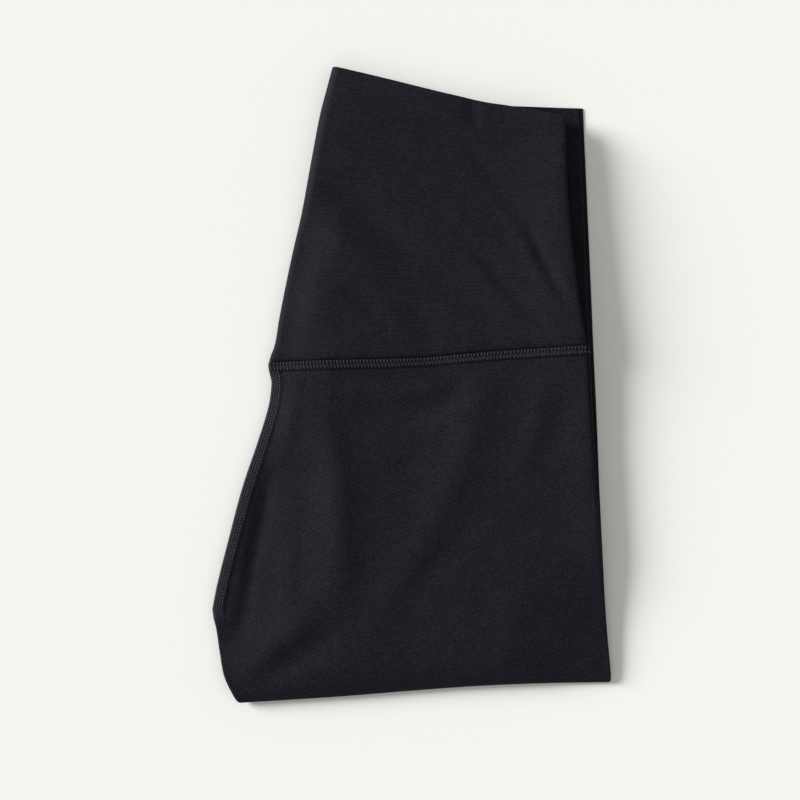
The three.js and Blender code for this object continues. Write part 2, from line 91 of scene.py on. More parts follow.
# Edges seen from above, as rows of x and y
FOLD_LINE = ((-104, -191), (-44, -187.2), (-2, -183.8), (40, -180.8), (80, -179.2), (120, -178.6))
SEAM_LINE = (
    (-87, 13.9), (-48, 15.4), (-30, 15.7), (-12, 16.1), (12, 17.3), (30, 18.9), (50, 20.6), (80, 22.5),
    (105, 24.2),
)
WAIST_LINE = (
    (-47.6, 191), (-17, 183.7), (12.6, 176.3), (30, 172.2), (44, 169.0), (60, 166.6), (78, 163.2),
    (87, 161.0), (91.6, 159.4),
)
FRONT_WAIST_LINE = ((-60, 168), (20, 162), (92, 154))
HEM_LINE = ((-37, 170.6), (56, 167.5), (103, 166.4))

# Soft troughs (height below 0) and ridges, as rows of from, bend, to, width and height
CREASES = (
    # the long ridges and troughs that run down the leg
    ((-54, -14), (-36, -72), (-47, -139), 10.5, 2.5),
    ((-62, 4), (-62, -22), (-72, -56), 9, 1.1),
    ((42, 12), (38, -36), (12, -82), 11, 1.6),
    ((28, -60), (6, -90), (-30, -160), 9.5, 1.1),
    ((48, -68), (23, -100), (-8, -134), 7.5, -0.6),
    ((84, 8), (73, -20), (65, -52), 7, 0.8),
    ((99, 4), (88, -24), (80, -56), 7, -0.6),
    # beside the centre back seam, and up to the lower left corner
    ((-84, -50), (-94, -98), (-103, -150), 4.8, -2.2),
    ((-76, -54), (-74, -94), (-77, -150), 8, 1.2),
    ((-72, 8), (-69.5, -20), (-84, -54), 7.0, 2.2),
    ((-56, -132), (-72, -150), (-96, -164), 8, 0.6),
    ((-46, -146), (-69, -171), (-124, -188), 9, -2.7),
    # under the waist seam
    ((-34, -7), (9, -32), (34, 5), 8, -2.4),
    ((30, -22), (10, -44), (-14, -52), 13, -0.9),
    ((-60, 2), (-14, 4), (22, 6), 7, -1.6),
    ((-62, -14), (-18, -22), (14, -24), 15, -1.2),
    ((-2, 52), (10, 30), (19, 4), 10, -1.2),
    # the right side, and the corner where the cloth sinks
    ((106, 6), (106, -60), (113, -130), 9, 1.2),
    ((92, -200), (128, -168), (138, -104), 34, -3.9),
    ((68, -112), (62, -144), (50, -176), 12, 1.0),
    # along the lower fold
    ((-130, -198), (0, -187), (140, -186), 11.5, -3.9),
    # on the waistband, from the centre edge down to the middle
    ((-66, 101), (-44, 88), (-13, 62), 9, 2.0),
    ((-50, 124), (-25, 101), (5, 72), 9, -1.8),
    ((-56, 74), (-60, 46), (-66, 18), 8, 1.5),
    ((-40, 59), (-26, 44), (-12, 35), 4.5, -0.8),
    # the narrow creases at the waistband's right
    ((67, 97), (78.5, 74), (93.5, 46), 3.2, -1.6),
    ((60, 98), (71, 75), (84, 50), 4.5, 0.7),
    ((29, 146), (50, 119), (67, 95), 3.4, -0.5),
    ((24, 144), (45, 117), (61, 95), 4.0, 0.3),
    ((27, 93), (52, 62), (78, 36), 4.0, -0.85),
    ((21, 90), (46, 60), (71, 33), 5.0, 0.6),
    ((8, 72), (29, 53), (50, 38), 6.5, -0.9),
    ((97, 170), (99, 108), (105, -24), 28, 5.4),
    ((93, 164), (96, 108), (101, 44), 4.5, -1.1),
    # under the waistband's rim
    ((35, 177), (37, 164), (36, 151), 4.0, -1.0),
    ((60, 150), (80, 149), (100, 150), 6.0, -1.0),
)
CREASE_STEPS = 14
CREASE_END = 0.15
CREASE_FADE = 0.8
DEEPEST = 4.4

# How much the stack is pressed flat along the lower fold, and round the place of its right corner
FOLD_PRESS = 0.3
PRESS_REACH = 24.0
CORNER_PRESS = 0.38
CORNER_PLACE = (125.0, -172.0)
CORNER_REACH = (38.0, 40.0)

# How far the waistband's centre fold stands open: little at the seam, and fully from some way up
BAND_LOFT = 5.3
LOFT_AT_SEAM = 0.15
LOFT_FROM = 84.0
LOFT_OVER = 34.0

# How far the upper layers have climbed onto the legs beneath
SIDE_RAMP = 40.0
SIDE_RAMP_PAST = 3.0
HEM_RAMP = 18.0
HEM_RAMP_PAST = 4.0
FOLD_RAMP = 26.0
FRONT_RUN_OUT = 36.0
FRONT_RUN_IN = 6.0
FRONT_DROP = 0.4
HEM_DROOP = 0.78
HEM_DROOP_FROM = (60.0, 136.0)
HEM_DROOP_OVER = (38.0, 20.0)
SEAM_DIP = 1.0
SEAM_DIP_WIDTH = 4.5


def curve(table, key):
    """A smooth line through a table's rows: cubic pieces whose slopes are those of the neighbours."""
    keys, values = np.array(table, float).T
    key = np.asarray(key, float)
    before = np.clip(np.arange(len(keys)) - 1, 0, None)
    after = np.clip(np.arange(len(keys)) + 1, None, len(keys) - 1)
    slopes = (values[after] - values[before]) / (keys[after] - keys[before])
    i = np.clip(np.searchsorted(keys, key, side="right") - 1, 0, len(keys) - 2)
    span = keys[i + 1] - keys[i]
    t = np.clip((key - keys[i]) / span, 0, 1)
    return (
        (2 * t**3 - 3 * t**2 + 1) * values[i]
        + (3 * t**2 - 2 * t**3) * values[i + 1]
        + (t**3 - 2 * t**2 + t) * span * slopes[i]
        + (t**3 - t**2) * span * slopes[i + 1]
    )


def smooth(t):
    """An S-shaped step from 0 to 1, level at both ends."""
    t = np.clip(t, 0, 1)
    return t * t * (3 - 2 * t)


def lerp(a, b, t):
    """The share t of the way from a to b."""
    return a + (b - a) * t


# x of the edges at y
waist_centre = partial(curve, WAIST_CENTRE_EDGE)
waist_side = partial(curve, WAIST_SIDE_EDGE)
hip_side = partial(curve, HIP_SIDE_EDGE)
under_inner = partial(curve, UNDER_INNER_EDGE)
under_side = partial(curve, UNDER_SIDE_EDGE)

# y of the rims at x, where the legs' upper rim is the seam line
seam_line = partial(curve, SEAM_LINE)
waist_line = partial(curve, WAIST_LINE)
front_waist_line = partial(curve, FRONT_WAIST_LINE)
hem_line = partial(curve, HEM_LINE)


def leg_centre(y):
    """The edge at the centre back seam, and below the crotch the inner thigh."""
    return np.where(np.asarray(y) < CROTCH_Y, curve(INNER_THIGH_EDGE, y), curve(BACK_SEAM_EDGE, y))


def fold_start(x):
    """Where the layers leave the flat and turn under: one stack's height above the fold line."""
    return curve(FOLD_LINE, x) + FOLD


def band_start(x):
    """Lower rim of the waistband, which all but touches the legs'."""
    return seam_line(x) + SEAM_GAP


def creases(x, y):
    """Height that all creases add: across each bent line, height exp(-(distance / width)^2).

    Along the line it fades to a share e at both ends, as e + (1 - e) sin(pi t)^f. Troughs that meet never
    reach the deepest level, d: below 0 the sum s becomes d tanh(s / d).
    """
    total = np.zeros(np.broadcast(x, y).shape)
    for start, bend, end, width, height in CREASES:
        t = np.linspace(0, 1, CREASE_STEPS + 1)
        start, bend, end = (np.array(p, float) for p in (start, bend, end))
        line = lerp(lerp(start, bend, t[:, None]), lerp(bend, end, t[:, None]), t[:, None])
        nearest = np.full(total.shape, np.inf)
        along = np.zeros(total.shape)
        for i, (a, b) in enumerate(zip(line[:-1], line[1:])):
            step = b - a
            share = np.clip(((x - a[0]) * step[0] + (y - a[1]) * step[1]) / (step @ step), 0, 1)
            apart = np.hypot(x - a[0] - share * step[0], y - a[1] - share * step[1])
            along = np.where(apart < nearest, (i + share) / CREASE_STEPS, along)
            nearest = np.minimum(apart, nearest)
        fade = CREASE_END + (1 - CREASE_END) * np.sin(np.pi * along) ** CREASE_FADE
        total += height * fade * np.exp(-((nearest / width) ** 2))
    return np.where(total < 0, -DEEPEST * np.tanh(-total / DEEPEST), total)


def press(x, y):
    """Share of their height that the layers keep, (1 - a n^2) (1 - b c).

    n rises from 0 to 1 towards the lower fold, and c is a bell round its right corner.
    """
    near_fold = np.clip(1 - (y - curve(FOLD_LINE, x)) / PRESS_REACH, 0, 1)
    from_corner = [(at - place) / reach for at, place, reach in zip((x, y), CORNER_PLACE, CORNER_REACH)]
    near_corner = np.exp(-from_corner[0] ** 2 - from_corner[1] ** 2)
    return (1 - FOLD_PRESS * near_fold**2) * (1 - CORNER_PRESS * near_corner)


def climb(x, y):
    """How far the upper layers are up: 0 on the table, and 1 on the legs beneath or at the lower fold.

    An S-shaped ramp s leads up to the inner edge of the legs beneath, and another, f, away from the fold:
    1 - (1 - s) f. Past the hems it comes down again.
    """
    crest = under_inner(y) + SIDE_RAMP_PAST
    left = np.where(y > seam_line(x), waist_centre(y), leg_centre(y))
    foot = np.maximum(crest - SIDE_RAMP, left + 1)
    side = np.where(crest - foot < 1, 1, smooth((x - foot) / np.maximum(crest - foot, 1)))
    side = 1 - (1 - side) * smooth((y - fold_start(x)) / FOLD_RAMP)
    return side * (1 - smooth((y - hem_line(x) - HEM_RAMP_PAST) / HEM_RAMP))


def band_under(x, y):
    """Height of the waistband's lower face over the table."""
    return (LEG_STACK + BAND_REST) * climb(x, y)


def band_top(x, y):
    """Height of the waistband's upper face: that of its stack over its lower face, with the creases.

    It dips at the seam as (1 - d / width)^2, drops by two layers' share where the front half has ended, and
    stands open where the band lies on the table.
    """
    ended = FRONT_DROP * smooth((y - front_waist_line(x) + FRONT_RUN_IN) / FRONT_RUN_OUT)
    dip = SEAM_DIP * np.clip(1 - (y - band_start(x)) / SEAM_DIP_WIDTH, 0, 1) ** 2
    opened = LOFT_AT_SEAM + (1 - LOFT_AT_SEAM) * smooth((y - LOFT_FROM) / LOFT_OVER)
    loft = BAND_LOFT * (1 - climb(x, y)) * opened
    return band_under(x, y) + BAND_STACK - dip - (BAND_TUBE + LAYER_GAP) * ended + loft + creases(x, y)


class Side:
    """An edge of the cloth between two lines that bound it: at(v) is its x at the share v of its height."""

    def __init__(self, outline, lower, upper, guess):
        self.outline, self.lower, self.upper = outline, lower, upper
        self.start = self.end = float(guess)
        for _ in range(12):
            self.start = float(outline(lower(self.start)))
            self.end = float(outline(upper(self.end)))

    def y(self, v):
        return lerp(self.lower(self.start), self.upper(self.end), v)

    def at(self, v):
        return self.outline(self.y(v))

    def lean(self, v):
        """How much longer a step across the edge is along a row that meets the edge aslant."""
        y = self.y(v)
        return np.hypot(1, (self.outline(y + 2) - self.outline(y - 2)) / 4)


def height_between(left, right, lower, upper, u, v):
    """y of the point u of the way between two sides and v of the way between two lines."""
    start, end = lerp(left.start, right.start, u), lerp(left.end, right.end, u)
    return lerp(lower(start), upper(end), v)


def signed_volume(points, faces):
    """Volume inside four-sided faces, below 0 where they point inwards: sum of p0 . (p1 x p2) over 6."""
    p0, p1, p2, p3 = (points[faces[:, i]] for i in range(4))
    return float((p0 * (np.cross(p1, p2) + np.cross(p2, p3))).sum() / 6)


def write_mesh(name, grids, rings, uv_grids, seam_grids=None):
    """Joins numpy grids into one closed mesh. Each ring is a grid of point numbers: its cells are faces."""
    points = np.concatenate([g.reshape(-1, 3) for g in grids]) * MM
    uvs = np.concatenate([g.reshape(-1, 2) for g in uv_grids]) * MM
    faces = np.concatenate([
        np.stack([r[:-1, :-1], r[:-1, 1:], r[1:, 1:], r[1:, :-1]], -1).reshape(-1, 4) for r in rings
    ])
    if signed_volume(points, faces) < 0:
        faces = faces[:, ::-1]
    mesh = bpy.data.meshes.new(name)
    mesh.vertices.add(len(points))
    mesh.vertices.foreach_set("co", points.astype(np.float32).ravel())
    mesh.loops.add(faces.size)
    mesh.loops.foreach_set("vertex_index", faces.astype(np.int32).ravel())
    mesh.polygons.add(len(faces))
    mesh.polygons.foreach_set("loop_start", np.arange(0, faces.size, 4, dtype=np.int32))
    layer = mesh.uv_layers.new(name="cloth")
    layer.data.foreach_set("uv", uvs[faces.ravel()].astype(np.float32).ravel())
    if seam_grids is not None:
        places = np.concatenate([g.reshape(-1, 3) for g in seam_grids])
        attribute = mesh.attributes.new("seam", "FLOAT_VECTOR", "POINT")
        attribute.data.foreach_set("vector", places.astype(np.float32).ravel())
    mesh.update(calc_edges=True)
    mesh.validate()
    mesh.polygons.foreach_set("use_smooth", np.ones(len(mesh.polygons), bool))
    mesh.set_sharp_from_angle(angle=math.radians(60))
    piece = bpy.data.objects.new(name, mesh)
    bpy.context.collection.objects.link(piece)
    return piece


def shell(name, outer, inner, uv, seam):
    """A closed cloth wall from an outer and an inner grid: each row becomes a ring out and back again."""
    rows, columns = outer.shape[:2]
    ids = np.arange(rows * columns).reshape(rows, columns)
    ring = np.concatenate([ids, (ids + ids.size)[:, ::-1], ids[:, :1]], 1)
    first = np.stack([(ids + ids.size)[0], ids[0]])
    last = np.stack([ids[-1], (ids + ids.size)[-1]])
    seams = [seam, seam * np.array([1, 1, 0])]
    return write_mesh(name, [outer, inner], [ring, first, last], [uv, uv], seams)


def loop_shell(name, outer, inner, uv):
    """A closed wall from two grids whose last column meets the first, as in a band without ends."""
    rows, columns = outer.shape[:2]
    ids = np.arange(rows * columns).reshape(rows, columns)
    around = np.concatenate([ids, ids[:, :1]], 1)
    within = around + ids.size
    first = np.stack([within[0], around[0]])
    last = np.stack([around[-1], within[-1]])
    return write_mesh(name, [outer, inner], [around, within[:, ::-1], first, last], [uv, uv])


def arc(centre_a, centre_h, radius, start, stop, count, right=False):
    """Profile points on an arc, a - r sin(turn) and h - r cos(turn), by quarter turns from straight up."""
    turn = np.linspace(start, stop, count) * math.pi / 2
    a = centre_a - radius * np.sin(turn)
    h = centre_h - radius * np.cos(turn)
    share = np.full(count, 1.0 if right else 0.0)
    return np.stack([share, np.zeros(count) if right else a, a if right else np.zeros(count), h], 1)


def run(a, b, h, shares):
    """Profile points on a straight run from a past the left edge to b short of the right one."""
    shares = np.asarray(shares, float)
    count = len(shares)
    return np.stack([shares, np.full(count, a), np.full(count, b), np.full(count, h)], 1)


def near_left(distances, h):
    """Profile points at fixed distances from the left edge."""
    count = len(distances)
    return np.stack([np.zeros(count), distances, np.zeros(count), np.full(count, h)], 1)


def rounded_rim(rows_from_end, thickness):
    """How far a rim has closed within half a thickness, r, of its end: r (1 - sqrt(1 - q^2))."""
    q = np.clip(1 - rows_from_end / (thickness / 2), 0, 1)
    return thickness / 2 * (1 - np.sqrt(1 - q**2)) * RIM_CLOSED


def arc_length(points):
    """Distance along each row of a grid of points, from its first column."""
    steps = np.linalg.norm(np.diff(points, axis=1), axis=2)
    return np.concatenate([np.zeros((len(points), 1)), np.cumsum(steps, 1)], 1)


class LegForm:
    """Rows down a leg from the waist seam, over the lower fold and back to the hem."""

    UPPER = 200.0
    TURN = 12.0
    LOWER = 356.0
    LENGTH = UPPER + TURN + LOWER
    CROTCH_SHARPNESS = 14.0
    WAIST_OUT = 2.2

    def __init__(self, s, tuck=0.0):
        self.up = np.clip(1 - s / self.UPPER, 0, 1)
        self.turn = np.clip((s - self.UPPER) / self.TURN, 0, 1)
        self.down = np.clip((s - self.UPPER - self.TURN) / self.LOWER, 0, 1)
        self.centre = Side(leg_centre, fold_start, seam_line, -100)
        self.side = Side(hip_side, fold_start, seam_line, 110)
        self.inner = Side(under_inner, fold_start, hem_line, -60)
        self.under = Side(under_side, fold_start, hem_line, 110)
        self.is_up = s <= self.UPPER
        self.is_down = s >= self.UPPER + self.TURN
        crotch = (CROTCH_Y - self.centre.y(0)) / (self.centre.y(1) - self.centre.y(0))
        self.hip = smooth((self.up - crotch) * self.CROTCH_SHARPNESS + 1)
        upper_left, upper_right = self.centre.at(self.up), self.side.at(self.up)
        lower_left, lower_right = self.inner.at(self.down), self.under.at(self.down)
        out = self.WAIST_OUT * (1 - smooth(1 - self.up)) * (tuck > 0)
        middle_left = lerp(self.centre.start, self.inner.start, self.turn)
        middle_right = lerp(self.side.start, self.under.start, self.turn)
        self.left = np.where(self.is_up, upper_left, np.where(self.is_down, lower_left, middle_left))
        right = np.where(self.is_up, upper_right + out, np.where(self.is_down, lower_right, middle_right))
        self.right = right - tuck * self.turn
        self.lean = lerp(self.centre.lean(self.up), self.inner.lean(self.down), self.turn)

    def place(self, x, h):
        """Points at x and at the depth h below the outer face, for each row."""
        row = (slice(None), None)
        up, down, turn = self.up[row], self.down[row], self.turn[row]
        u_up = np.clip((x - self.left[row]) / (self.right - self.left)[row], -0.05, 1.05)
        y_up = height_between(self.centre, self.side, fold_start, seam_line, np.clip(u_up, 0, 1), up)
        y_down = height_between(self.inner, self.under, fold_start, hem_line, np.clip(u_up, 0, 1), down)
        axis = fold_start(x)
        angle = np.pi * (0.5 - turn)
        reach = FOLD - h
        y_turn = axis - reach * np.cos(angle)
        y_at = np.where(self.is_up[row], y_up, np.where(self.is_down[row], axis, y_turn))
        folds = creases(x, y_at)
        base = LEG_STACK * climb(x, y_at)
        top = base + LEG_STACK + folds * (1 - h / LEG_STACK)
        z_turn = top / 2 + (top / 2 - h) * np.sin(angle)
        is_up, is_down = self.is_up[row], self.is_down[row]
        y = np.where(is_up, y_up, np.where(is_down, y_down, y_turn))
        across = smooth((x - HEM_DROOP_FROM[0]) / HEM_DROOP_OVER[0])
        droop = HEM_DROOP * across * smooth((y_down - HEM_DROOP_FROM[1]) / HEM_DROOP_OVER[1])
        z = np.where(is_up, top - h, np.where(is_down, h * (1 - droop), z_turn))
        return np.stack([x, y, z * press(x, y)], -1)

    def x_of(self, profile):
        """x of profile points, given as share, distance from the left, distance from the right, depth."""
        share, a, b, _ = np.moveaxis(profile, -1, 0)
        row = (slice(None), None)
        left = self.left[row] + a * self.lean[row]
        return lerp(left, self.right[row] - b, share)


# Cloth, and the seams laid flat on it
LEG_CLOTH = 0.9
BAND_CLOTH = 1.4
BAND_TUCK = 1.0
NOSE_REACH = 6.5
BAND_LENGTH = 150.0
BAND_HEIGHT = 160.0
BAND_WIDTH = 150.0
EDGE_STRIP = 12.0
RIM_CLOSED = 0.96
SEAM_BAND = 6.5
SEAM_WIDER = 0.8
SEAM_WIDER_AT = 74.0
SEAM_WIDER_REACH = 34.0
SEAM_END_WIDER = 0.6
SEAM_END_REACH = 40.0
SEAM_SLOPE = 1.6
CENTRE_GROOVE = 0.06
WAIST_GROOVE = 0.3
WAIST_SEAM_DEPTH = 5.6
CENTRE_SEAM_LENGTH = 150.0
RIM_STEPS = 5
LEG_WIDTH = 205.0
RIGHT_LEG_TUCK = 2.4
RIGHT_LEG_STEP = 1.5

# Stitches: rows as distances from the seam's edge or the hem, then half their length and their radius
WAIST_ROWS = (1.65, 4.5)
WAIST_BAR = (1.05, 0.44)
WAIST_LINE_ROW = 3.1
WAIST_LINE_PITCH = 1.25
WAIST_LINE_STITCH = (0.55, 0.18)
CENTRE_ROWS = (0.95, 2.35, 3.75, 5.15)
CENTRE_LINK = (0.84, 0.4)
CENTRE_LEAN = 0.75
HEM_ROWS = (18.0, 22.5)
HEM_PITCH = 2.9
HEM_STITCH = (1.15, 0.24)

# Camera and light: where each soft light stands, how wide it is in degrees, and its strength
VIEW_CENTRE = Vector((-0.0072, -0.009, 0.005))
VIEW_WIDTH = 0.48
LENS = 120.0
SENSOR_WIDTH = 36.0
FLOOR_HALF = 6.0
FLOOR_DEPTH = 0.0002
LIGHTS = (
    ("key", (-0.94, 0.34, 0.365), 24.0, 5.45),
    ("fill", (0.3, -0.4, 0.9), 90.0, 0.4),
)
WORLD_STRENGTH = 0.32


def leg_profile(offset, top_shares, low_shares, hip):
    """The section of the left leg: from its centre seam over the top, round the side and back beneath.

    At the hips the two ends lie at the outer and the inner centre fold, and below the crotch they meet.
    """
    tube, half = LEG_TUBE, LEG_TUBE / 2
    stack = LEG_STACK / 2
    if hip:
        first = arc(stack, stack, stack - offset, 1.0, 0.05, 9)
        last = arc(stack + 0.2, stack, LAYER_GAP / 2 + offset, 0.05, 1.0, 5)
        start, end = stack, stack + 0.2
    else:
        first = arc(half, half, half - offset, 1.0, 0.05, 9)
        last = arc(half, half, half - offset, 2.0, 1.0, 5)
        start, end = half, half
    close = near_left(np.arange(3.0, EDGE_STRIP, 0.5), offset)
    if not hip:
        close[:, 1] = np.linspace(start, EDGE_STRIP, len(close) + 2)[1:-1]
    return np.concatenate([
        first,
        close,
        run(EDGE_STRIP, half, offset, top_shares),
        arc(half, half, half - offset, 0.1, 1.95, 11, right=True),
        run(end, half, tube - offset, low_shares[::-1]),
        last,
    ])


def seam_width(s):
    """Width of the centre back seam, s down it: wider in a bell halfway, and in a ramp to the crotch."""
    wider = np.exp(-(((s - SEAM_WIDER_AT) / SEAM_WIDER_REACH) ** 2))
    near_end = smooth((s - CENTRE_SEAM_LENGTH + SEAM_END_REACH) / SEAM_END_REACH)
    return SEAM_BAND + SEAM_WIDER * wider + SEAM_END_WIDER * near_end


def seam_lift(from_left, s, hip, rise):
    """How far the flat seams raise the cloth, down the centre edge and along the waist, with a groove
    beside each: a plateau with S-shaped sides, less a bell."""
    width = seam_width(s)
    centre = rise * (1 - smooth((from_left - width + 0.9) / SEAM_SLOPE))
    groove = np.exp(-(((from_left - width - 0.7) / 0.7) ** 2))
    waist = rise * smooth(s / 0.6) * (1 - smooth((s - WAIST_SEAM_DEPTH) / 0.6))
    beneath = np.exp(-(((s - WAIST_SEAM_DEPTH - 0.9) / 0.6) ** 2)) * smooth(from_left - width)
    past = smooth((s - WAIST_SEAM_DEPTH) / 1.2)
    return np.maximum((centre - CENTRE_GROOVE * groove * past) * hip, waist) - WAIST_GROOVE * beneath


def leg_mesh(name, flip, tuck, top_step, row_step, rise):
    """A whole leg's cloth as a closed wall: rows are spaced along the leg, columns round the section."""
    fine = np.arange(1.0, 9.0, 0.5)
    upper = np.arange(9.0, LegForm.UPPER - 1, row_step)
    turn = np.linspace(LegForm.UPPER, LegForm.UPPER + LegForm.TURN, 13)
    lower = np.arange(LegForm.UPPER + LegForm.TURN + 2.5, LegForm.LENGTH - 2, 2.4 * row_step)
    rim = rim_rows(LEG_CLOTH)
    s = np.concatenate([rim, fine, upper, turn, lower, LegForm.LENGTH - rim[::-1]])
    form = LegForm(s, tuck)
    top_shares = np.linspace(0, 1, int(LEG_WIDTH / top_step))
    low_shares = np.linspace(0, 1, int(LEG_WIDTH / (3 * top_step)))
    closing = rounded_rim(np.minimum(s, LegForm.LENGTH - s), LEG_CLOTH)
    surfaces = []
    for inset in (closing, LEG_CLOTH - closing):
        hips = np.stack([leg_profile(o, top_shares, low_shares, True) for o in inset])
        legs = np.stack([leg_profile(o, top_shares, low_shares, False) for o in inset])
        profile = lerp(legs, hips, form.hip[:, None, None])
        x = form.x_of(profile)
        surfaces.append((x, profile[..., 3]))
    (x_out, h_out), (x_in, h_in) = surfaces
    from_left = (x_out - form.left[:, None]) / form.lean[:, None]
    if flip:
        h_out, h_in = LEG_STACK - h_out, LEG_STACK - h_in
    else:
        on_top = smooth((1.9 - h_out) / 1.2)
        h_out = h_out - seam_lift(from_left, s[:, None], form.hip[:, None], rise) * on_top
    outer, inner = form.place(x_out, h_out), form.place(x_in, h_in)
    across = arc_length(outer)
    middle = int(np.argmax(x_out[0]))
    across = across[:, middle:middle + 1] - across
    uv = np.stack([across, np.broadcast_to(s[:, None], across.shape)], -1)
    along = np.broadcast_to(s[:, None], across.shape)
    reach = from_left / seam_width(s)[:, None]
    seam = np.stack([reach, along, form.hip[:, None] * (h_out < LEG_TUBE / 2)], -1)
    if not flip:
        outer, inner, uv, seam = outer[:, ::-1], inner[:, ::-1], uv[:, ::-1], seam[:, ::-1]
    return shell(name, outer, inner, uv, seam)


def band_profile(offset, top_shares, low_shares):
    """The closed section of the waistband, begun where it is hidden: inner layer, round the lower side, back
    beneath, up round the outer centre fold, over the top, round the upper side and in to the inner centre
    fold. A fifth column is 1 on the front layers, which end lower than the back ones."""
    tube, half, stack = BAND_TUBE, BAND_TUBE / 2, BAND_STACK / 2
    inner_fold = stack + 0.2
    lower_half = half + BAND_TUCK
    parts = [
        (run(inner_fold, lower_half, tube + LAYER_GAP + offset, low_shares[:-1]), 1, 1),
        (arc(lower_half, BAND_STACK - half, half - offset, 0.05, 1.9, 9, right=True), 1, 0),
        (run(stack, lower_half, BAND_STACK - offset, low_shares[::-1]), 0, 0),
        (arc(stack, stack, stack - offset, 1.93, 0.07, 21), 0, 0),
        (run(stack, half, offset, top_shares), 0, 0),
        (arc(half, half, half - offset, 0.1, 1.95, 9, right=True), 0, 1),
        (run(inner_fold, half, tube - offset, low_shares[::-1][:-1]), 1, 1),
        (arc(inner_fold, stack, LAYER_GAP / 2 + offset, 0.0, 2.0, 9), 1, 1),
    ]
    return np.concatenate([
        np.column_stack([part, smooth(np.linspace(start, stop, len(part)))]) for part, start, stop in parts
    ])


def band_place(x, h, front, v, centre, side):
    """Points of the waistband at x and the depth h, the share v of the way up from the seam.

    The outer skins keep their thickness, and the layers between them share what height is left. At the
    centre fold all layers share it, and the fold is as wide as it is high.
    """
    row = (slice(None), None)
    left, right = centre.at(v)[row], side.at(v)[row]

    def y_at(x):
        u = np.clip((x - left) / (right - left), 0, 1)
        y_back = height_between(centre, side, band_start, waist_line, u, v[row])
        return lerp(y_back, height_between(centre, side, band_start, front_waist_line, u, v[row]), front)

    loose = (band_top(x, y_at(x)) - band_under(x, y_at(x))) / BAND_STACK - 1
    x = x + (x - left) * loose * np.exp(-(x - left) / NOSE_REACH)
    y = y_at(x)
    top, under = band_top(x, y), band_under(x, y)
    skin = BAND_CLOTH + 0.1
    middle = (h - skin) / (BAND_STACK - 2 * skin)
    between = lerp(top - skin, under + skin, middle)
    skins = np.where(h < skin, top - h, np.where(h > BAND_STACK - skin, under + BAND_STACK - h, between))
    shared = lerp(top, under, h / BAND_STACK)
    z = lerp(skins, shared, np.exp(-(((x - left) / NOSE_REACH) ** 2)))
    return np.stack([x, y, z], -1)


def rim_rows(thickness):
    """Distances from a rim at which its rounding is drawn: thickness / 2 times 1 - cos of an even turn."""
    return thickness / 2 * (1 - np.cos(np.linspace(0, math.pi / 2, RIM_STEPS)))


def band_mesh(name, top_step, row_step):
    """The waistband as one closed loop of double cloth, with its top and bottom rims rounded."""
    rim = rim_rows(BAND_CLOTH)
    rows = np.concatenate([rim, np.arange(1.5, BAND_LENGTH - 1.5, row_step), BAND_LENGTH - rim[::-1]])
    v = rows / BAND_LENGTH
    centre = Side(waist_centre, band_start, waist_line, -60)
    side = Side(waist_side, band_start, waist_line, 92)
    closing = rounded_rim(np.minimum(rows, BAND_LENGTH - rows), BAND_CLOTH)
    top_shares = np.linspace(0, 1, int(BAND_WIDTH / top_step))
    low_shares = np.linspace(0, 1, int(BAND_WIDTH / (4 * top_step)))
    grids = []
    for inset in (closing, BAND_CLOTH - closing):
        profile = np.stack([band_profile(o, top_shares, low_shares) for o in inset])
        share, a, b, h, front = np.moveaxis(profile, -1, 0)
        x = lerp(centre.at(v)[:, None] + a, side.at(v)[:, None] - b, share)
        grids.append(band_place(x, h, front, v, centre, side))
    outer, inner = grids
    across = arc_length(outer)
    up = np.broadcast_to((v * BAND_HEIGHT)[:, None], across.shape)
    uv = np.stack([across, up], -1)
    return loop_shell(name, outer, inner, uv)


def beads(centres, along, up, half_length, radius, rings=6, sides=6):
    """Short lengths of thread, as balls drawn out by L along and R across:

    centre + L sin(a) along + R cos(a) (cos(b) across + sin(b) up).
    """
    across = np.cross(up, along)
    a = np.linspace(-math.pi / 2, math.pi / 2, rings)[None, :, None, None]
    b = np.linspace(0, 2 * math.pi, sides, endpoint=False)[None, None, :, None]
    centres, along, up, across = (v[:, None, None, :] for v in (centres, along, up, across))
    outwards = np.cos(b) * across + np.sin(b) * up
    return centres + half_length * np.sin(a) * along + radius * np.cos(a) * outwards


def thread_mesh(name, bead_sets):
    """One mesh of many closed beads, each a ball of rings that end in a point."""
    points, quads, triangles, count = [], [], [], 0
    for grid in bead_sets:
        number, rings, sides = grid.shape[:3]
        body = grid[:, 1:-1].reshape(number, -1, 3)
        ends = np.stack([grid[:, 0, 0], grid[:, -1, 0]], 1)
        points.append(np.concatenate([body, ends], 1).reshape(-1, 3))
        size = body.shape[1] + 2
        ring = np.arange((rings - 2) * sides).reshape(rings - 2, sides)
        turned = np.roll(ring, -1, 1)
        wall = np.stack([ring[:-1], turned[:-1], turned[1:], ring[1:]], -1).reshape(-1, 4)
        first = np.stack([turned[0], ring[0], np.full(sides, size - 2)], -1)
        last = np.stack([ring[-1], turned[-1], np.full(sides, size - 1)], -1)
        starts = (np.arange(number) * size + count)[:, None, None]
        quads.append((wall + starts).reshape(-1, 4))
        triangles.append((np.concatenate([first, last]) + starts).reshape(-1, 3))
        count += number * size
    mesh = bpy.data.meshes.new(name)
    faces = np.concatenate(quads).tolist() + np.concatenate(triangles).tolist()
    mesh.from_pydata((np.concatenate(points) * MM).tolist(), [], faces)
    mesh.polygons.foreach_set("use_smooth", np.ones(len(faces), bool))
    mesh.update()
    piece = bpy.data.objects.new(name, mesh)
    bpy.context.collection.objects.link(piece)
    return piece


def unit(vectors):
    return vectors / np.linalg.norm(vectors, axis=-1, keepdims=True)


